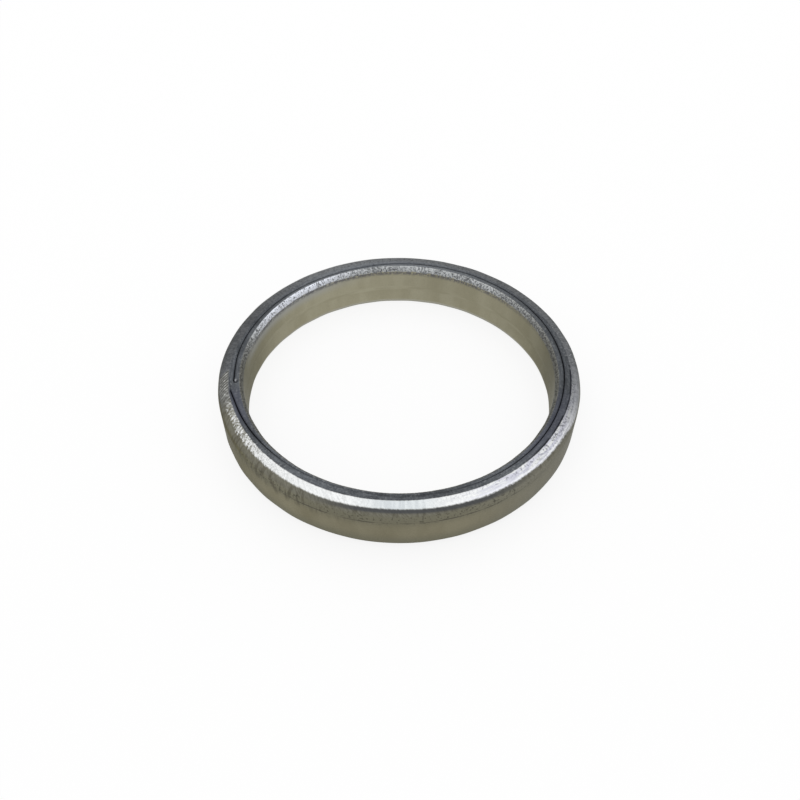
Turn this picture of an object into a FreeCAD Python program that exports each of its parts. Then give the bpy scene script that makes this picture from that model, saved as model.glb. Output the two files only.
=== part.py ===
"""Exhaust gasket: a ring of metal strip, rolled up in turns and pressed to shape.

The ring lies on its lower face, as it comes to rest. The origin is the middle of that
face, and +Z runs up along the ring's axis. Angles are counted anticlockwise from +X,
seen from above. All sizes are in millimetres.
"""

import FreeCAD, Part
import math
import os

from FreeCAD import Vector

# Ring: the bore that slides over the pipe, and the wall as two turns either side of the seam
bore_diameter = 48.0
inner_turn = 1.2
outer_turn = 2.8
ring_height = 8.0

# Outer shoulders: a shallow bevel out from the face, a steeper one, then a rounding to the wall.
# Each tilt is measured from the face.
outer_bevel_width = 0.9
outer_bevel_tilt = 9.0
outer_slope_width = 0.6
outer_slope_tilt = 32.0
outer_rounding = 1.5
outer_rounding_tilt = 42.0

# Inner shoulders: a steep round from the face's inner edge down to the bore wall
inner_shoulder_width = 0.5
inner_shoulder_drop = 1.05

# Seam: the parting between the turns, as it shows on both faces
seam_gap = 0.08
seam_depth = 0.9
edge_chamfer = 0.1

# Joggle: where the turn that lies outside steps in, past the end of the turn inside it
joggle_foot_angle = 218.0
joggle_head_angle = 176.0
joggle_rise = 0.95
joggle_points = 9

# Inner end: the strip's rounded tip, which the seam runs round
inner_end_angle = 189.0
inner_end_radius = 0.28
inner_end_turn = 150.0

bore_radius = bore_diameter / 2
seam_radius = bore_radius + inner_turn
outer_radius = seam_radius + outer_turn
full_turn = 360.0


def polar(radius, degrees, z=0.0):
    """The point at a radius and an angle about the ring's axis, at height z."""
    angle = math.radians(degrees)
    return Vector(radius * math.cos(angle), radius * math.sin(angle), z)


def outer_shoulder():
    """The edges from the outer wall up to the face, for the upper half of the wall."""
    tilt = math.radians(outer_rounding_tilt)
    half = (math.pi / 2 + tilt) / 2
    rounding_width = outer_rounding * (1 - math.sin(tilt))
    slope_foot_radius = outer_radius - rounding_width
    bevel_foot_radius = slope_foot_radius - outer_slope_width
    face_radius = bevel_foot_radius - outer_bevel_width
    bevel_foot_z = ring_height - outer_bevel_width * math.tan(math.radians(outer_bevel_tilt))
    slope_foot_z = bevel_foot_z - outer_slope_width * math.tan(math.radians(outer_slope_tilt))
    centre = Vector(outer_radius - outer_rounding, 0, slope_foot_z - outer_rounding * math.cos(tilt))

    wall_edge = centre + Vector(outer_rounding, 0, 0)
    rounding_middle = centre + Vector(math.sin(half), 0, math.cos(half)) * outer_rounding
    slope_foot = Vector(slope_foot_radius, 0, slope_foot_z)
    bevel_foot = Vector(bevel_foot_radius, 0, bevel_foot_z)
    face_edge = Vector(face_radius, 0, ring_height)
    return [
        Part.makeLine(Vector(outer_radius, 0, ring_height / 2), wall_edge),
        Part.Arc(wall_edge, rounding_middle, slope_foot).toShape(),
        Part.makeLine(slope_foot, bevel_foot),
        Part.makeLine(bevel_foot, face_edge),
    ]


def inner_shoulder():
    """The edges from the face down to the bore wall, for the upper half of the wall."""
    width, drop = inner_shoulder_width, inner_shoulder_drop
    rounding = (width**2 + drop**2) / (2 * width)
    centre = Vector(bore_radius + rounding, 0, ring_height - drop)
    face_edge = Vector(bore_radius + width, 0, ring_height)
    bore_edge = Vector(bore_radius, 0, ring_height - drop)
    outward = ((face_edge + bore_edge) / 2 - centre).normalize()
    return [
        Part.Arc(face_edge, centre + outward * rounding, bore_edge).toShape(),
        Part.makeLine(bore_edge, Vector(bore_radius, 0, ring_height / 2)),
    ]


def ring_section():
    """The wall cut across, as a face in the XZ plane: the lower half mirrors the upper one."""
    outer, inner = outer_shoulder(), inner_shoulder()
    face = Part.makeLine(outer[-1].Vertexes[-1].Point, inner[0].Vertexes[0].Point)
    upper = outer + [face] + inner
    lower = [edge.mirror(Vector(0, 0, ring_height / 2), Vector(0, 0, 1)) for edge in upper]
    return Part.Face(Part.Wire(Part.__sortEdges__(upper + lower)))


def joggle_curve():
    """The seam's ramp: its radius eases from the outside of the joggle down to the seam's own."""
    span = joggle_foot_angle - joggle_head_angle
    points = []
    for step in range(joggle_points):
        along = step / (joggle_points - 1)
        eased = along * along * (3 - 2 * along)
        radius = seam_radius + joggle_rise * (1 - eased)
        points.append(polar(radius, joggle_head_angle + span * along))
    curve = Part.BSplineCurve()
    curve.interpolate(
        Points=points,
        InitialTangent=polar(1, joggle_head_angle + 90),
        FinalTangent=polar(1, joggle_foot_angle + 90),
    )
    return curve.toShape()


def turn_curve():
    """The seam's long round stretch, from the joggle's foot round to the strip's inner end."""
    last = full_turn + inner_end_angle
    middle = (joggle_foot_angle + last) / 2
    return Part.Arc(
        polar(seam_radius, joggle_foot_angle),
        polar(seam_radius, middle),
        polar(seam_radius, last),
    ).toShape()


def inner_end_curve():
    """The seam's small hook, which turns in round the tip of the strip towards the bore."""
    centre = polar(seam_radius - inner_end_radius, inner_end_angle)
    bends = [inner_end_angle, inner_end_angle + inner_end_turn / 2, inner_end_angle + inner_end_turn]
    return Part.Arc(*[centre + polar(inner_end_radius, bend) for bend in bends]).toShape()


def seam_groove():
    """The room the seam takes at the upper face: a narrow parting between two chamfered edges."""
    path = Part.Wire([joggle_curve(), turn_curve(), inner_end_curve()])
    start = polar(seam_radius + joggle_rise, joggle_head_angle)
    across = polar(1, joggle_head_angle)
    half_gap = seam_gap / 2
    above = edge_chamfer
    outline = [
        (half_gap, ring_height - seam_depth),
        (half_gap, ring_height - edge_chamfer),
        (half_gap + edge_chamfer + above, ring_height + above),
    ]
    mirrored = [(-side, z) for side, z in reversed(outline)]
    corners = [start + across * side + Vector(0, 0, z) for side, z in outline + mirrored]
    profile = Part.makePolygon(corners + corners[:1])
    sweep = Part.BRepOffsetAPI.MakePipeShell(path)
    sweep.setBiNormalMode(Vector(0, 0, 1))
    sweep.add(profile)
    sweep.build()
    sweep.makeSolid()
    return sweep.shape()


def gasket_ring():
    """The whole ring: its section turned about the axis, less the seam at both faces."""
    ring = ring_section().revolve(Vector(0, 0, 0), Vector(0, 0, 1), full_turn)
    upper = seam_groove()
    lower = upper.mirror(Vector(0, 0, ring_height / 2), Vector(0, 0, 1))
    return ring.cut(upper).cut(lower)


os.makedirs("parts", exist_ok=True)
solid = gasket_ring().Solids[0]
solid.exportStep("parts/gasket_ring.step")
print("gasket_ring", "valid", solid.isValid(), "volume", round(solid.Volume, 1), "mm3")
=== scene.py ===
"""Exhaust gasket: a ring of steel strip rolled in turns, lying on a pale floor.

Shapes are worked out in millimetres and angles in degrees, anticlockwise from +X seen
from above. The mesh is scaled to metres when it is made.
"""

import math
from types import SimpleNamespace

import bpy
import numpy as np
from mathutils import Matrix, Vector


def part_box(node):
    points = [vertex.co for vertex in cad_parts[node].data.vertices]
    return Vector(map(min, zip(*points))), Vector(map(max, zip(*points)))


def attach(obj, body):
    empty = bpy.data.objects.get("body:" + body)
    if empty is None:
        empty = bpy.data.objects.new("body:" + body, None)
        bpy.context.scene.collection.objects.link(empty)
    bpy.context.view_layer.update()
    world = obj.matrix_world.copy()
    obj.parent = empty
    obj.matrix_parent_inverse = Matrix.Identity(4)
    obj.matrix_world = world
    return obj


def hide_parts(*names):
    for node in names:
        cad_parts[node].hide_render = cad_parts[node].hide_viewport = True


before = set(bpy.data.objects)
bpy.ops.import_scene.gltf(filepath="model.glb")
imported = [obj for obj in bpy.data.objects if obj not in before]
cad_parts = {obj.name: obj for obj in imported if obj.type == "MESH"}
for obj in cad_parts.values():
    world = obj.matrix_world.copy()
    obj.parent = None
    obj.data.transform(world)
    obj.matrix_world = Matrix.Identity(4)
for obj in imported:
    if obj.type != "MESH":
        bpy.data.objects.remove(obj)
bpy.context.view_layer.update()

MM = 0.001

# Overall sizes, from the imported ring
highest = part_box("gasket_ring")[1]
outer_radius = highest.x / MM
height = highest.z / MM
wall_thickness = 4.0
bore_radius = outer_radius - wall_thickness

# Inner shoulder: an arc from the bore wall up to the face
inner_width, inner_drop = 0.5, 1.05
inner_rounding = (inner_width**2 + inner_drop**2) / (2 * inner_width)
face_inner = bore_radius + inner_width

# Outer shoulder: a bevel, a steeper slope, and a rounding into the outer wall
rounding, rounding_tilt = 1.5, math.radians(42)
slope_foot = outer_radius - rounding * (1 - math.sin(rounding_tilt))
slope_width, slope_tilt = 0.6, math.radians(32)
bevel_foot = slope_foot - slope_width
bevel_width, bevel_tilt = 0.9, math.radians(9)
face_outer = bevel_foot - bevel_width
bevel_drop = bevel_width * math.tan(bevel_tilt)
slope_drop = bevel_drop + slope_width * math.tan(slope_tilt)
wall_drop = slope_drop + rounding * math.cos(rounding_tilt)

# Seam between the turns, as (angle, radius): from the joggle round to the strip's inner end
seam_stations = [
    (192, 25.97), (193.3, 25.9), (195.2, 25.76), (198, 25.6), (204, 25.42), (211, 25.25), (219, 25.06),
    (227, 24.94), (250, 24.78), (270, 24.85), (300, 25.06), (330, 25.14), (345, 25.26), (360, 25.42),
    (405, 25.4), (450, 25.2), (470, 24.95), (510, 25.2), (535, 25.36), (548.3, 25.38),
]
joggle_head, joggle_start, inner_end = 183.0, 192.0, 548.3
hook_radius, hook_reach = 0.26, 0.42
seam_depth = 0.7
mark_pitch = 0.58

# Where the face ends and the bevel begins, and where the bevel ends, as (angle, radius)
border_stations = [
    (0, 26.42), (30, 26.1), (60, 25.95), (110, 25.85), (165, 25.8), (184, 26.2), (198, 26.1),
    (210, 25.95), (230, 25.84), (250, 25.8), (268, 25.66), (282, 25.68), (300, 25.9),
    (315, 26.06), (330, 26.19), (345, 26.42),
]
foot_stations = [
    (0, 27.3), (60, 27.0), (180, 26.95), (210, 26.97), (230, 27.0), (250, 27.05), (268, 26.93),
    (282, 27.08), (300, 27.26), (315, 27.4), (330, 27.45),
]

# How strongly the bevel is burnished, with a painted highlight in front, and how light each surface is round
# the ring, which is painted light and shade, as (angle, level)
burnish_and_highlight_stations = [
    (0, 0.14), (30, 0.03), (60, 0.0), (150, 0.0), (184, 0.0), (196, 0.28), (206, 0.46), (216, 0.59),
    (230, 1.0), (250, 1.05), (290, 1.05), (310, 1.04), (322, 1.05), (332, 0.87), (341, 0.5), (351, 0.3),
]
wall_light_stations = [
    (0, 0.62), (45, 0.8), (135, 0.8), (180, 0.5), (205, 0.68), (215, 0.84), (230, 1.1), (250, 0.98),
    (270, 0.97), (290, 1.02), (310, 1.07), (325, 0.98), (342, 0.76),
]
bore_light_stations = [
    (0, 0.62), (10, 0.71), (30, 1.02), (50, 1.13), (70, 1.11), (90, 1.18), (112, 1.25), (132, 1.2),
    (150, 1.08), (165, 0.86), (180, 0.68), (225, 0.8), (315, 0.8),
]
face_light_stations = [
    (0, 0.74), (30, 0.84), (60, 0.87), (90, 0.98), (120, 1.06), (150, 0.8), (170, 0.86), (186, 1.0),
    (200, 0.8), (215, 0.8), (232, 1.06), (250, 0.88), (270, 0.7), (290, 0.73), (308, 0.97), (325, 0.75),
    (342, 0.64),
]
shoulder_light_stations = [
    (0, 1.3), (30, 1.05), (60, 0.95), (90, 1.0), (120, 1.12), (150, 0.82), (170, 0.8), (186, 1.0),
    (210, 1.1), (345, 1.35),
]
parting_stations = [
    (0, 0.8), (30, 0.7), (60, 0.6), (90, 0.6), (150, 0.5), (180, 0.65), (192, 1.0), (206, 1.0),
    (216, 0.7), (228, 0.25), (250, 0.0), (290, 0.1), (312, 0.45), (330, 0.6), (345, 0.65),
]


def eased(low, high, x):
    """0 below low, 1 above high, and the cubic 3t^2 - 2t^3 between."""
    t = np.clip((x - low) / (high - low), 0, 1)
    return t * t * (3 - 2 * t)


def round_the_ring(stations, degrees):
    """Values at the angles from a few (angle, value) stations, as one smooth closed curve.

    Between two stations a cubic joins their values, and its slope at each is that of the
    line between its two neighbours.
    """
    at, value = np.array(stations, float).T
    at = np.concatenate([at[-2:] - 360, at, at[:2] + 360])
    value = np.concatenate([value[-2:], value, value[:2]])
    slope = (value[2:] - value[:-2]) / (at[2:] - at[:-2])
    turned = stations[0][0] + (degrees - stations[0][0]) % 360
    k = np.clip(np.searchsorted(at, turned, side="right") - 1, 1, len(at) - 3)
    span = at[k + 1] - at[k]
    t = (turned - at[k]) / span
    start, end = slope[k - 1] * span, slope[k] * span
    return (
        (2 * t**3 - 3 * t**2 + 1) * value[k]
        + (t**3 - 2 * t**2 + t) * start
        + (3 * t**2 - 2 * t**3) * value[k + 1]
        + (t**3 - t**2) * end
    )


def ripple(turn, along, waves, cycles, stretch, seed):
    """A closed rough surface about 0: the sum of random cosines, each with a whole number of
    waves round the ring, between the two cycles, and up to stretch radians per mm across."""
    rng = np.random.default_rng(seed)
    total = np.zeros(np.broadcast(turn, along).shape)
    for _ in range(waves):
        n, m = rng.integers(*cycles), rng.uniform(-stretch, stretch)
        total += np.cos(n * turn + m * along + rng.uniform(0, 2 * math.pi))
    return total / math.sqrt(waves / 2)


def ring_angles():
    """Angles round the ring: even steps, with closer ones at the joggle and the hook."""
    degrees = np.linspace(0, 360, 7201)
    by_joggle = (degrees > 178) & (degrees < 232)
    by_hook = (degrees > 186) & (degrees < 191)
    density = 2.25 + 3.4 * by_joggle + 4.0 * by_hook
    count = np.concatenate([[0], np.cumsum((density[1:] + density[:-1]) / 2 * np.diff(degrees))])
    steps = int(count[-1])
    return np.interp(np.arange(steps) * count[-1] / steps, count, degrees)


def shoulder_drop(radius, border, foot):
    """How far the face has dropped at a radius: nothing up to the border, then the bevel to
    its foot, the slope, and the rounding's circle."""
    foot_drop = bevel_drop + (foot - bevel_foot) * math.tan(slope_tilt) * 0.8
    bevel = foot_drop * np.clip((radius - border) / (foot - border), 0, 1)
    slope = (slope_drop - foot_drop) * np.clip((radius - foot) / (slope_foot - foot), 0, 1)
    over = np.clip(radius, slope_foot, outer_radius) - (outer_radius - rounding)
    circle = rounding * math.cos(rounding_tilt) - np.sqrt(np.maximum(rounding**2 - over**2, 0))
    return bevel + slope + circle


def spread(start, end, count):
    """Columns at even steps from one radius to another, without the last."""
    return start[:, None] + (end - start)[:, None] * np.arange(count) / count


def half_section(seam, border, foot, counts):
    """Columns over one half of the wall, from the middle of the bore to that of the outer wall.

    Gives the radius, the drop below the face and the share of the seam's depth. The face's
    columns lie evenly either side of nine that follow the seam.
    """
    bore, shoulder, inner, outer, slope, round_off, wall = counts
    level, ones = np.zeros(len(seam)), np.ones((len(seam), 1))
    across = np.array([-0.2, -0.13, -0.08, -0.04, 0, 0.04, 0.08, 0.13, 0.2])
    depth = np.array([0, 0.02, 0.07, 0.16, 1.0, 0.16, 0.07, 0.02, 0])
    bend = np.linspace(0, math.asin(inner_drop / inner_rounding), shoulder, endpoint=False)
    turn_off = np.linspace(rounding_tilt, math.pi / 2, round_off, endpoint=False)
    bore_drop = np.linspace(height / 2, inner_drop, bore, endpoint=False)
    outer_drop = np.linspace(wall_drop, height / 2, wall, endpoint=False)
    top = np.concatenate(
        [
            spread(level + face_inner, seam + across[0], inner),
            seam[:, None] + across,
            spread(seam + across[-1] + 0.07, foot, outer),
            spread(foot, level + slope_foot, slope),
            ones * (outer_radius - rounding + rounding * np.sin(turn_off)),
        ],
        axis=1,
    )
    radius = [
        ones * bore_radius * np.ones(bore),
        ones * (bore_radius + inner_rounding * (1 - np.cos(bend))),
        top,
        ones * outer_radius * np.ones(wall),
    ]
    drop = [
        ones * bore_drop,
        ones * (inner_drop - inner_rounding * np.sin(bend)),
        shoulder_drop(top, border[:, None], foot[:, None]),
        ones * outer_drop,
    ]
    radius, drop = np.concatenate(radius, axis=1), np.concatenate(drop, axis=1)
    share = np.zeros(radius.shape)
    first = bore + shoulder + inner
    share[:, first : first + len(across)] = depth
    return radius, drop, share


def ring_grid():
    """The whole ring as one closed grid, angle by section, with the values its finish and its painted light
    and shade need.

    The section runs up the bore wall, over the upper face, down the outer wall and back under
    the lower face. Every dent goes square into the metal, so the ring keeps its outer size.
    """
    degrees = ring_angles()
    past = joggle_start + (degrees - joggle_start) % 360
    seam = round_the_ring(seam_stations, past)
    back_out = eased(inner_end + 0.2, joggle_start + 360, past)
    seam = seam + (seam_stations[0][1] - seam) * back_out
    border = round_the_ring(border_stations, degrees)
    foot = round_the_ring(foot_stations, degrees)
    even = np.zeros_like(degrees)

    upper = half_section(seam, border, foot, (4, 9, 8, 13, 5, 6, 5))
    lower = half_section(seam, even + face_outer, even + bevel_foot, (3, 5, 8, 4, 2, 4, 3))
    middle = np.ones((len(degrees), 1))
    middle = (outer_radius * middle, height / 2 * middle, 0 * middle)
    radius, drop, share = (
        np.concatenate([u, m, low[:, :0:-1]], axis=1) for u, m, low in zip(upper, middle, lower)
    )
    upper_count = upper[0].shape[1]
    top = np.zeros(radius.shape)
    top[:, : upper_count + 1] = 1
    z = np.where(top > 0, height - drop, drop)

    # Outward direction of the section, and the distance along it from the middle of the bore
    ahead = np.roll(radius, -1, 1) - np.roll(radius, 1, 1), np.roll(z, -1, 1) - np.roll(z, 1, 1)
    length = np.hypot(*ahead)
    out_r, out_z = -ahead[1] / length, ahead[0] / length
    step = np.hypot(np.diff(radius, axis=1), np.diff(z, axis=1))
    section = np.concatenate([0 * step[:, :1], np.cumsum(step, axis=1)], axis=1)

    turn = np.radians(degrees)[:, None]
    angle = degrees[:, None] + 0 * radius
    is_open = eased(joggle_start - 0.5, joggle_start + 2, past)
    is_open = is_open * (1 - eased(inner_end - 0.4, inner_end + 0.2, past))
    gap_level = round_the_ring(parting_stations, degrees) * is_open
    gap = share * (0.15 + 0.85 * gap_level)[:, None] * is_open[:, None]

    # The hook on both faces: half an oval round the strip's tip, open towards smaller angles
    tip_radius = seam_stations[-1][1] - hook_radius
    beyond = np.radians(angle - inner_end % 360) * tip_radius
    from_tip = np.hypot(beyond * hook_radius / hook_reach, radius - tip_radius)
    hook = np.exp(-(((from_tip - hook_radius) / 0.07) ** 2)) * eased(-0.3, 0.0, beyond)
    hook = hook * (drop < 0.02)

    # The faint line that leads up to the joggle
    lead = (angle > joggle_head - 1) & (angle < joggle_start + 1.5)
    lead_radius = 26.2 - 0.26 * eased(joggle_head, joggle_start, angle)
    line = np.exp(-(((radius - lead_radius) / 0.07) ** 2)) * lead * top
    line = line * eased(joggle_head - 1, joggle_head + 5, angle)

    # A painted highlight on the strip's raised tip
    tip = np.exp(-((from_tip / 0.13) ** 2)) * top

    # Slanting marks of the closing tool on the shoulder by the joggle, at an even pitch
    out = radius - bevel_foot
    run = np.radians(angle - 184.2) * bevel_foot - 0.85 * out
    on_mark = eased(0, 0.2, run) * (1 - eased(3.0, 6.5, run))
    on_mark = on_mark * eased(-0.75, -0.6, out) * (1 - eased(0.5, 0.9, out)) * top
    mark = (0.5 - 0.5 * np.cos(2 * math.pi * run / mark_pitch)) * on_mark

    # Torn metal on the inner shoulder, a few nicks and a slow waviness
    inner_side = (radius < face_inner + 0.4) * eased(inner_drop + 0.3, inner_drop - 0.1, drop)
    inner_side = inner_side * (1 - eased(face_inner + 0.05, face_inner + 0.3, radius)) * top
    tear_level = 0.25 + 0.75 * eased(10, 60, angle) * (1 - eased(165, 185, angle))
    tear = ripple(turn, section, 48, (80, 520), 9.0, 3)
    wave = ripple(turn, section, 20, (3, 36), 0.7, 5)

    sink = seam_depth * gap + 0.2 * hook + 0.05 * line + 0.05 * mark
    sink = sink + 0.03 * inner_side * tear_level * (1.2 + np.clip(tear, -1.2, 2.0))
    sink = sink + 0.012 * (2 + np.clip(wave, -2, 2))
    radius_in, z_in = radius - sink * out_r, z - sink * out_z

    place, slanted = (
        np.stack([outer_radius * np.cos(a), outer_radius * np.sin(a), section], -1)
        for a in (turn + 0 * z, turn - 0.9 * section / outer_radius)
    )
    shape = np.stack([radius_in * np.cos(turn), radius_in * np.sin(turn), z_in], -1) * MM
    finish = {
        "reach": radius,
        "drop": drop,
        "past_border": radius - border[:, None],
        "to_foot": foot[:, None] - radius,
        "tip": tip,
        "from_seam": np.abs(radius - seam[:, None]) + 9 * (1 - top),
        "seam_level": gap_level[:, None] + 0 * radius,
        # The dark seam and lead lines are joints; in the hook's crescent round the raised tip the dark is
        # painted shadow as well
        "dark": np.maximum.reduce([share**0.8 * gap_level[:, None], hook, 0.5 * line]).clip(0, 1),
        "mark": mark,
        "marked": on_mark,
        "top": top,
        # Levels round the ring: the bevel's burnish with a painted highlight, and painted light and shade for
        # each surface
        "burnish_and_highlight": round_the_ring(burnish_and_highlight_stations, angle),
        "wall_painted_light": round_the_ring(wall_light_stations, angle),
        "bore_painted_light": round_the_ring(bore_light_stations, angle),
        "face_painted_light": round_the_ring(face_light_stations, angle),
        "shoulder_painted_light": round_the_ring(shoulder_light_stations, angle),
    }
    return shape, {"place": place, "slanted": slanted}, finish


def closed_grid(name, shape, places, finish):
    """An object from a grid that closes both ways, with its places and finish values."""
    rows, columns = shape.shape[:2]
    i, j = np.meshgrid(np.arange(rows), np.arange(columns), indexing="ij")
    here, across = i * columns + j, i * columns + (j + 1) % columns
    beyond = (i + 1) % rows * columns
    corners = np.stack([here, beyond + j, beyond + (j + 1) % columns, across], -1).reshape(-1, 4)
    mesh = bpy.data.meshes.new(name)
    mesh.vertices.add(rows * columns)
    mesh.vertices.foreach_set("co", shape.ravel())
    mesh.loops.add(corners.size)
    mesh.loops.foreach_set("vertex_index", corners.ravel())
    mesh.polygons.add(len(corners))
    mesh.polygons.foreach_set("loop_start", np.arange(len(corners)) * 4)
    mesh.update(calc_edges=True)
    mesh.polygons.foreach_set("use_smooth", np.ones(len(corners), bool))
    for label, values in places.items():
        mesh.attributes.new(label, "FLOAT_VECTOR", "POINT").data.foreach_set("vector", values.ravel())
    for label, values in finish.items():
        mesh.attributes.new(label, "FLOAT", "POINT").data.foreach_set("value", values.ravel())
    made = bpy.data.objects.new(name, mesh)
    bpy.context.scene.collection.objects.link(made)
    return made


class Tree:
    """Short calls to place and join nodes in one node tree."""

    def __init__(self, tree):
        self.tree = tree

    def add(self, kind, **settings):
        node = self.tree.nodes.new(kind)
        for key, value in settings.items():
            setattr(node, key, value)
        return node

    def put(self, value, socket):
        if isinstance(value, bpy.types.NodeSocket):
            self.tree.links.new(value, socket)
        else:
            socket.default_value = value

    def math(self, operation, *values):
        node = self.add("ShaderNodeMath", operation=operation)
        for value, socket in zip(values, node.inputs):
            self.put(value, socket)
        return node.outputs[0]

    def product(self, *values):
        total = values[0]
        for value in values[1:]:
            total = self.math("MULTIPLY", total, value)
        return total

    def plus(self, first, second, share=1.0):
        return self.math("MULTIPLY_ADD", second, share, first)

    def ramp(self, value, low, high, to_low=0.0, to_high=1.0):
        """Eased map of a value between low and high."""
        node = self.add("ShaderNodeMapRange", interpolation_type="SMOOTHSTEP")
        for item, socket in zip((value, low, high, to_low, to_high), node.inputs):
            self.put(item, socket)
        return node.outputs[0]

    def mix(self, share, first, second):
        node = self.add("ShaderNodeMix", data_type="RGBA")
        self.put(share, node.inputs[0])
        self.put(first, node.inputs[6])
        self.put(second, node.inputs[7])
        return node.outputs[2]

    def mix_value(self, share, first, second):
        node = self.add("ShaderNodeMix", data_type="FLOAT")
        for value, place in zip((share, first, second), (0, 2, 3)):
            self.put(value, node.inputs[place])
        return node.outputs[0]

    def shade(self, colour, level):
        """A colour times a plain level."""
        node = self.add("ShaderNodeVectorMath", operation="SCALE")
        self.put(colour, node.inputs[0])
        self.put(level, node.inputs["Scale"])
        return node.outputs[0]

    def attribute(self, name, output="Fac"):
        return self.add("ShaderNodeAttribute", attribute_name=name).outputs[output]

    def angle(self):
        """Degrees anticlockwise from +X, 0 to 360, from the place on the object."""
        across = self.add("ShaderNodeSeparateXYZ")
        self.put(self.add("ShaderNodeTexCoord").outputs["Object"], across.inputs[0])
        x, y = (self.math("MULTIPLY", output, -1.0) for output in across.outputs[:2])
        return self.plus(180.0, self.math("ARCTAN2", y, x), math.degrees(1))

    def noise(self, vector, scale, detail=2.0, stretch=(1, 1, 1)):
        """Soft noise about 0.5, stretched round the ring or across it."""
        mapping = self.add("ShaderNodeMapping")
        self.put(vector, mapping.inputs["Vector"])
        mapping.inputs["Scale"].default_value = stretch
        node = self.add("ShaderNodeTexNoise")
        self.tree.links.new(mapping.outputs[0], node.inputs["Vector"])
        node.inputs["Scale"].default_value = scale
        node.inputs["Detail"].default_value = detail
        return node.outputs["Fac"]


def rgb(*channels):
    return (*channels, 1.0)


def surface_fields(t):
    """What every part of the ring's finish reads: places, distances, masks and noises."""
    place, slanted = t.attribute("place", "Vector"), t.attribute("slanted", "Vector")
    angle, reach = t.angle(), t.attribute("reach")
    inside = t.ramp(reach, 25.6, 25.0)
    specks = t.noise(place, 3.0, 5)
    return SimpleNamespace(
        angle=angle,
        reach=reach,
        drop=t.attribute("drop"),
        top=t.attribute("top"),
        past_border=t.attribute("past_border"),
        to_foot=t.attribute("to_foot"),
        inside=inside,
        outside=t.math("SUBTRACT", 1.0, inside),
        # Lighter at the back of the ring: a mask for painted light
        back=t.product(t.ramp(angle, 20, 80), t.ramp(angle, 160, 110)),
        strokes=t.noise(place, 1.7, 5, (1, 1, 0.2)),
        scratches=t.noise(slanted, 3.4, 4, (1, 1, 0.3)),
        grain=t.noise(place, 5.5, 4),
        specks=specks,
        dots=t.ramp(specks, 0.46, 0.34),
        patches=t.noise(place, 0.22, 3, (1, 1, 0.35)),
        circles=t.noise(place, 3.0, 4, (0.14, 0.14, 1)),
        clusters=t.noise(place, 0.45, 2),
    )


def outer_wall(t, f):
    """Olive, with dark specks, upright smears high on the left and a scribed line in front."""
    angle, drop, top = f.angle, f.drop, f.top
    colour = t.mix(t.ramp(f.patches, 0.35, 0.65), rgb(0.196, 0.179, 0.12), rgb(0.242, 0.224, 0.157))
    colour = t.mix(t.ramp(drop, 3.6, 1.2), colour, rgb(0.182, 0.174, 0.128))
    greyer = t.product(t.ramp(angle, 282, 318), t.ramp(angle, 358, 338), 0.7)
    colour = t.mix(greyer, colour, rgb(0.21, 0.204, 0.174))
    yellower = t.product(t.ramp(angle, 226, 212), t.ramp(angle, 170, 195), 0.6)
    colour = t.mix(yellower, colour, rgb(0.2, 0.182, 0.1))
    # Painted light and shade: the outer wall lighter or darker round the ring
    colour = t.shade(colour, t.attribute("wall_painted_light"))
    smear = t.product(t.ramp(f.strokes, 0.52, 0.36), t.ramp(drop, 3.9, 1.9), top, 0.6)
    smear = t.product(smear, t.ramp(angle, 192, 205), t.ramp(angle, 268, 236))
    colour = t.mix(smear, colour, rgb(0.075, 0.068, 0.05))
    freckle = t.product(f.dots, t.ramp(drop, 3.0, 1.4), top, 0.75)
    freckle = t.product(freckle, t.ramp(angle, 195, 225), t.ramp(angle, 335, 300))
    colour = t.mix(freckle, colour, rgb(0.06, 0.057, 0.045))
    scribed = t.product(t.ramp(drop, 1.9, 2.05), t.ramp(drop, 2.22, 2.07), t.ramp(f.circles, 0.62, 0.44))
    scribed = t.product(scribed, t.ramp(angle, 228, 245), t.ramp(angle, 325, 300), top)
    return t.mix(scribed, colour, rgb(0.07, 0.066, 0.055))


def bore_wall(t, f):
    """A lighter olive, with a pale haze at the back on the left."""
    colour = t.mix(t.ramp(f.patches, 0.35, 0.65), rgb(0.25, 0.235, 0.165), rgb(0.29, 0.275, 0.2))
    colour = t.mix(t.product(t.ramp(f.grain, 0.5, 0.36), 0.25), colour, rgb(0.12, 0.11, 0.08))
    # Painted light and shade: the bore wall lighter or darker round the ring
    colour = t.shade(colour, t.attribute("bore_painted_light"))
    haze = t.product(t.ramp(f.angle, 100, 132), t.ramp(f.angle, 180, 166), t.ramp(f.drop, 3.4, 1.5))
    haze = t.product(haze, f.top, 0.65)
    return t.mix(haze, colour, rgb(0.33, 0.338, 0.34))


def end_face(t, f):
    """Slate, finely speckled and darker beside the seam; lighter at the back and varied round the ring as
    painted light.
    """
    angle = f.angle
    colour = t.mix(t.ramp(f.circles, 0.35, 0.65), rgb(0.075, 0.081, 0.088), rgb(0.115, 0.124, 0.135))
    # Painted light: the face lighter at the back of the ring
    colour = t.mix(t.product(f.back, 0.6), colour, rgb(0.18, 0.192, 0.207))
    speckled = t.product(t.ramp(t.mix_value(0.65, f.specks, f.grain), 0.5, 0.38), 0.6)
    colour = t.mix(speckled, colour, rgb(0.035, 0.037, 0.043))
    colour = t.mix(t.product(t.ramp(f.specks, 0.54, 0.68), 0.4), colour, rgb(0.24, 0.245, 0.25))
    beside = t.product(t.ramp(t.attribute("from_seam"), 0.42, 0.08), t.attribute("seam_level"), 0.7)
    colour = t.mix(beside, colour, rgb(0.03, 0.033, 0.042))
    lilac = t.plus(
        t.product(t.ramp(angle, 190, 196), t.ramp(angle, 214, 204)),
        t.product(t.ramp(angle, 308, 325), t.ramp(angle, 352, 340)),
    )
    colour = t.mix(t.product(lilac, 0.35), colour, rgb(0.105, 0.11, 0.15))
    # Painted light and shade: the face lighter or darker round the ring
    return t.shade(colour, t.attribute("face_painted_light"))


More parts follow.
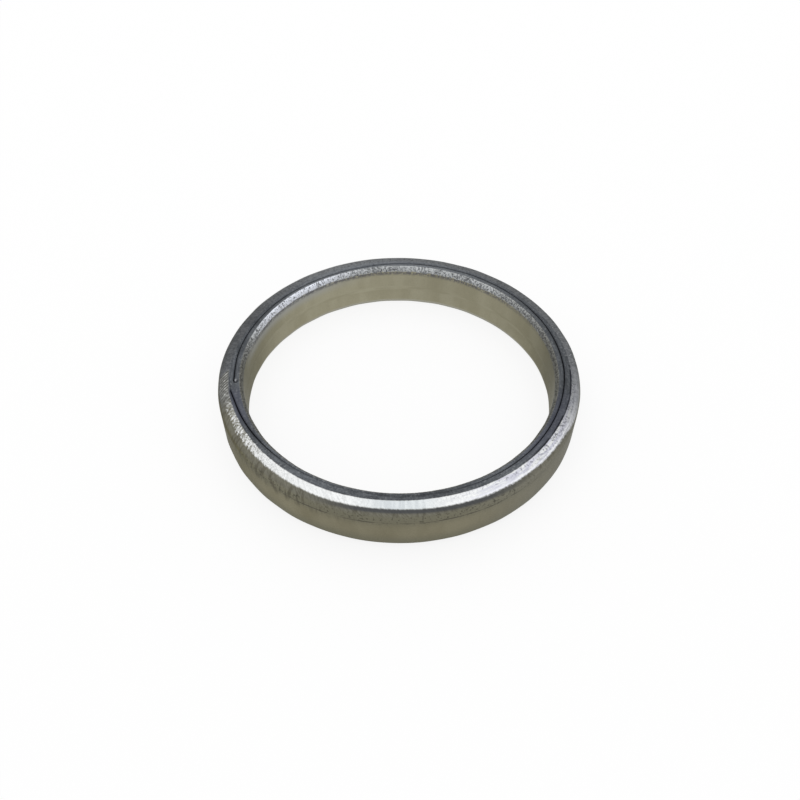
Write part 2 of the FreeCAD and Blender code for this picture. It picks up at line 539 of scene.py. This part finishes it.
def outer_shoulder(t, f, colour):
    """Grey at the back and the sides, olive in front, lighter at the back as painted light, with a painted
    dark reflection in a strip under the bevel in front.
    """
    angle = f.angle
    grey = t.mix(t.ramp(f.strokes, 0.35, 0.62), rgb(0.105, 0.11, 0.117), rgb(0.145, 0.15, 0.158))
    # Painted light: the shoulder's grey lighter at the back of the ring
    grey = t.mix(t.product(f.back, 0.5), grey, rgb(0.19, 0.198, 0.208))
    grey = t.mix(t.product(t.ramp(f.specks, 0.52, 0.36), 0.6), grey, rgb(0.05, 0.052, 0.056))
    # Painted light and shade: the shoulder lighter or darker round the ring
    grey = t.shade(grey, t.attribute("shoulder_painted_light"))
    brown = t.mix(t.ramp(f.scratches, 0.34, 0.62), rgb(0.142, 0.136, 0.106), rgb(0.192, 0.186, 0.15))
    brown = t.mix(t.product(t.ramp(f.strokes, 0.5, 0.36), 0.5), brown, rgb(0.09, 0.082, 0.06))
    in_front = t.product(t.ramp(angle, 190, 204), t.ramp(angle, 345, 322))
    shoulder = t.product(t.ramp(f.past_border, -0.04, 0.08), t.ramp(f.drop, 1.1, 0.6), f.outside)
    colour = t.mix(shoulder, colour, t.mix(in_front, grey, brown))
    # Painted reflection of a dark surround: a dark strip under the bevel in front
    strip = t.product(t.ramp(f.to_foot, 0.06, -0.08), t.ramp(f.to_foot, -0.66, -0.34), f.outside, f.top, 0.85)
    strip = t.product(strip, t.ramp(angle, 236, 262), t.ramp(angle, 318, 292))
    return t.mix(strip, colour, rgb(0.06, 0.063, 0.07))


def bevel_burnish_and_highlight(t, f, colour):
    """Bright burnished metal: slanting scratches on the left, streaks along the ring on the right. The band's
    brightness in front only is partly a painted highlight.
    """
    angle, burnish_and_highlight = f.angle, t.attribute("burnish_and_highlight")
    right, left = t.ramp(angle, 275, 308), t.ramp(angle, 244, 212)
    streaks = t.mix_value(right, t.mix_value(0.5, f.scratches, f.specks), f.circles)
    ragged = t.product(t.math("SUBTRACT", streaks, 0.5), t.plus(t.plus(0.25, left, 0.75), right, -0.1))
    ragged = t.plus(ragged, t.product(right, t.math("SUBTRACT", f.specks, 0.5)), 0.25)
    inner_edge = t.ramp(t.plus(f.past_border, ragged, 0.5), -0.06, 0.1)
    faded = t.ramp(angle, 325, 345, 0.0, 0.6)
    outer_edge = t.ramp(t.plus(t.plus(f.to_foot, ragged, 1.6), faded), -0.14, 0.14)
    # Real burnish, with a painted highlight that keeps the band bright only in front
    level = t.ramp(t.plus(burnish_and_highlight, ragged, 2.6), 0.25, 0.8)
    level = t.mix_value(t.ramp(angle, 316, 328), level, t.math("POWER", burnish_and_highlight, 1.4))
    band = t.product(inner_edge, outer_edge, level, t.ramp(f.drop, 1.3, 0.8), f.top)

    bright = t.mix(t.ramp(streaks, 0.36, 0.6), rgb(0.58, 0.59, 0.59), rgb(0.69, 0.7, 0.7))
    bright = t.mix(t.product(left, t.ramp(f.grain, 0.55, 0.36), 0.65), bright, rgb(0.2, 0.2, 0.19))
    in_middle = t.product(t.ramp(angle, 254, 268), t.ramp(angle, 286, 274), 0.8)
    upright = t.mix(t.ramp(f.strokes, 0.42, 0.58), rgb(0.45, 0.485, 0.505), rgb(0.55, 0.585, 0.6))
    bright = t.mix(in_middle, bright, upright)
    bright = t.mix(t.product(t.ramp(f.grain, 0.52, 0.38), 0.3), bright, rgb(0.3, 0.31, 0.32))
    bright = t.mix(t.product(right, t.ramp(streaks, 0.6, 0.4)), bright, rgb(0.5, 0.505, 0.57))
    pitted = t.product(t.ramp(angle, 298, 330), t.ramp(f.specks, 0.53, 0.4), 0.6)
    bright = t.mix(pitted, bright, rgb(0.14, 0.145, 0.17))
    nicked = t.product(t.ramp(f.past_border, 0.08, 0.2), t.ramp(f.past_border, 0.75, 0.3), right)
    bright = t.mix(t.product(nicked, t.ramp(f.specks, 0.46, 0.36), 0.7), bright, rgb(0.14, 0.14, 0.17))
    bright = t.mix(t.product(t.ramp(f.to_foot, 0.45, 0.1), right, 0.7), bright, rgb(0.78, 0.79, 0.83))
    colour = t.mix(band, colour, bright)

    rim = t.product(t.ramp(f.past_border, -0.3, -0.18), t.ramp(f.past_border, 0.06, -0.06), f.top)
    rim = t.product(rim, t.ramp(angle, 300, 325), t.ramp(f.circles, 0.68, 0.5))
    return t.mix(t.product(rim, 0.9), colour, rgb(0.012, 0.013, 0.017))


def inner_shoulder(t, f, colour):
    """Torn metal that sparkles at the back, a painted sheen there, with a painted shade in a dark ragged band
    under it.
    """
    angle, drop, specks = f.angle, f.drop, f.specks
    edge_in = t.plus(drop, t.math("SUBTRACT", specks, 0.5), 0.9)
    tear = t.product(t.ramp(edge_in, inner_drop - 0.02, inner_drop - 0.2), f.top)
    tear = t.product(tear, t.ramp(t.plus(f.reach, specks, 0.3), 24.74, 24.58))
    # Painted sheen: the torn metal bright only at the back, brightest between 130 and 150 degrees
    painted_sheen = t.product(t.ramp(angle, 0, 60), t.ramp(angle, 182, 160))
    brighter_painted_sheen = t.product(t.ramp(angle, 100, 130), t.ramp(angle, 168, 150))
    torn = t.plus(t.mix_value(0.45, specks, f.grain), t.math("SUBTRACT", f.clusters, 0.5), 0.2)
    sparkle = t.mix(t.ramp(torn, 0.4, 0.6), rgb(0.12, 0.125, 0.13), rgb(0.56, 0.58, 0.59))
    sparkle = t.mix(t.product(brighter_painted_sheen, t.ramp(torn, 0.38, 0.54)), sparkle, rgb(0.8, 0.83, 0.91))
    plain = t.mix(t.ramp(specks, 0.4, 0.62), rgb(0.09, 0.09, 0.085), rgb(0.2, 0.2, 0.185))
    # Painted shade: a dark ragged band on the bore wall just under the bright shoulder at the back
    under = t.product(t.ramp(drop, 1.9, 1.2), t.ramp(drop, 0.7, 0.9), f.inside, painted_sheen, f.top)
    colour = t.mix(t.product(under, t.ramp(specks, 0.62, 0.47), 0.85), colour, rgb(0.1, 0.1, 0.11))
    return t.mix(tear, colour, t.mix(painted_sheen, plain, sparkle))


def marks_and_seam(t, f, colour):
    """Worn metal between the tool marks, a painted highlight on the strip's raised tip, and the dark lines,
    with painted shadow in the crescent round the tip.
    """
    worn = t.mix(t.ramp(f.specks, 0.4, 0.6), rgb(0.24, 0.24, 0.225), rgb(0.5, 0.5, 0.47))
    colour = t.mix(t.product(t.attribute("marked"), 0.85), colour, worn)
    colour = t.mix(t.attribute("mark"), colour, rgb(0.035, 0.036, 0.034))
    # Painted highlight on the strip's raised tip
    colour = t.mix(t.product(t.attribute("tip"), 0.7), colour, rgb(0.4, 0.4, 0.42))
    # Dark joints along the seam, with painted shadow in the crescent round the tip
    return t.mix(t.product(t.attribute("dark"), 0.9), colour, rgb(0.008, 0.009, 0.012))


def ring_steel():
    """Pressed steel strip: olive walls, slate faces, a burnished bevel and a torn inner shoulder, with
    painted light and shade round the ring and painted highlights on the bevel and inner shoulder.
    """
    material = bpy.data.materials.new("ring_steel")
    material.use_nodes = True
    t = Tree(material.node_tree)
    shader = material.node_tree.nodes["Principled BSDF"]
    f = surface_fields(t)

    colour = t.mix(f.inside, outer_wall(t, f), bore_wall(t, f))
    # Painted reflection: the lower inner rim lighter than the bore wall
    low_rim_painted_light = t.product(t.ramp(f.drop, 1.0, 0.7), f.inside, t.math("SUBTRACT", 1.0, f.top))
    colour = t.mix(low_rim_painted_light, colour, rgb(0.36, 0.35, 0.29))
    on_face = t.product(t.ramp(f.drop, 0.3, 0.1), t.ramp(f.reach, 24.35, 24.6))
    colour = t.mix(on_face, colour, end_face(t, f))
    for part in (outer_shoulder, bevel_burnish_and_highlight, inner_shoulder, marks_and_seam):
        colour = part(t, f, colour)
    t.put(colour, shader.inputs["Base Color"])
    shader.inputs["Metallic"].default_value = 1.0
    shader.inputs["Specular Tint"].default_value = rgb(0.6, 0.6, 0.57)
    t.put(t.ramp(f.grain, 0.3, 0.7, 0.38, 0.52), shader.inputs["Roughness"])

    bump = t.add("ShaderNodeBump")
    bump.inputs["Strength"].default_value = 0.3
    bump.inputs["Distance"].default_value = 0.04 * MM
    t.put(t.plus(f.specks, f.grain), bump.inputs["Height"])
    t.put(bump.outputs[0], shader.inputs["Normal"])
    return material


def pale_floor():
    """A matt white floor far larger than the view, which keeps a light shadow."""
    half = 1.5
    mesh = bpy.data.meshes.new("floor")
    corners = [(-half, -half, 0), (half, -half, 0), (half, half, 0), (-half, half, 0)]
    mesh.from_pydata(corners, [], [(0, 1, 2, 3)])
    floor = bpy.data.objects.new("floor", mesh)
    bpy.context.scene.collection.objects.link(floor)
    material = bpy.data.materials.new("floor_white")
    material.use_nodes = True
    t = Tree(material.node_tree)
    matt = material.node_tree.nodes["Principled BSDF"]
    matt.inputs["Base Color"].default_value = rgb(0.96, 0.96, 0.96)
    matt.inputs["Roughness"].default_value = 0.9
    matt.inputs["Specular IOR Level"].default_value = 0.0
    white = t.add("ShaderNodeEmission")
    path = t.add("ShaderNodeLightPath")
    mirrored = t.math("MAXIMUM", path.outputs["Is Glossy Ray"], path.outputs["Is Transmission Ray"])
    share = t.math("MAXIMUM", mirrored, t.product(path.outputs["Is Camera Ray"], 0.85))
    blend = t.add("ShaderNodeMixShader")
    t.put(share, blend.inputs[0])
    t.put(matt.outputs[0], blend.inputs[1])
    t.put(white.outputs[0], blend.inputs[2])
    t.put(blend.outputs[0], material.node_tree.nodes["Material Output"].inputs["Surface"])
    mesh.materials.append(material)
    return floor


def studio_light():
    """An even white surround, and one broad lamp above and behind the ring."""
    world = bpy.data.worlds.new("studio")
    bpy.context.scene.world = world
    world.use_nodes = True
    t = Tree(world.node_tree)
    background = world.node_tree.nodes["Background"]
    background.inputs["Color"].default_value = rgb(1, 1, 1)
    path = t.add("ShaderNodeLightPath")
    seen = t.math("MAXIMUM", path.outputs["Is Camera Ray"], path.outputs["Is Glossy Ray"])
    seen = t.math("MAXIMUM", seen, path.outputs["Is Transmission Ray"])
    t.put(t.ramp(seen, 0, 1, 0.82, 1.0), background.inputs["Strength"])

    lamp = bpy.data.lights.new("overhead", "AREA")
    lamp.size = 0.9
    lamp.energy = 1.6
    made = bpy.data.objects.new("overhead", lamp)
    bpy.context.scene.collection.objects.link(made)
    made.location = (0.0, 0.2, 0.7)
    made.rotation_euler = (-made.location).to_track_quat("-Z", "Y").to_euler()


def camera():
    """The camera at the photograph's viewing angle: above the front, tipped a touch."""
    raised, roll = math.radians(47.502), math.radians(-0.285)
    distance, aside, upward = 4.4862, -0.00505, 0.00708
    right, up = Vector((1, 0, 0)), Vector((0, math.sin(raised), math.cos(raised)))
    back = Vector((0, -math.cos(raised), math.sin(raised)))
    x_axis = right * math.cos(roll) - up * math.sin(roll)
    y_axis = right * math.sin(roll) + up * math.cos(roll)
    data = bpy.data.cameras.new("camera")
    data.sensor_width = 36.0
    data.lens = 772.75 / 800 * 36.0
    data.clip_start = 0.01
    made = bpy.data.objects.new("camera", data)
    bpy.context.scene.collection.objects.link(made)
    place = (back * distance - x_axis * aside - y_axis * upward) * outer_radius * MM
    turned = Matrix((x_axis, y_axis, back)).transposed().to_4x4()
    made.matrix_world = Matrix.Translation(place) @ turned
    bpy.context.scene.camera = made


ring = closed_grid("gasket_ring_finished", *ring_grid())
ring.data.materials.append(ring_steel())
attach(ring, "root")
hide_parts("gasket_ring")
pale_floor()
studio_light()
camera()
bpy.context.scene.view_settings.view_transform = "Standard"
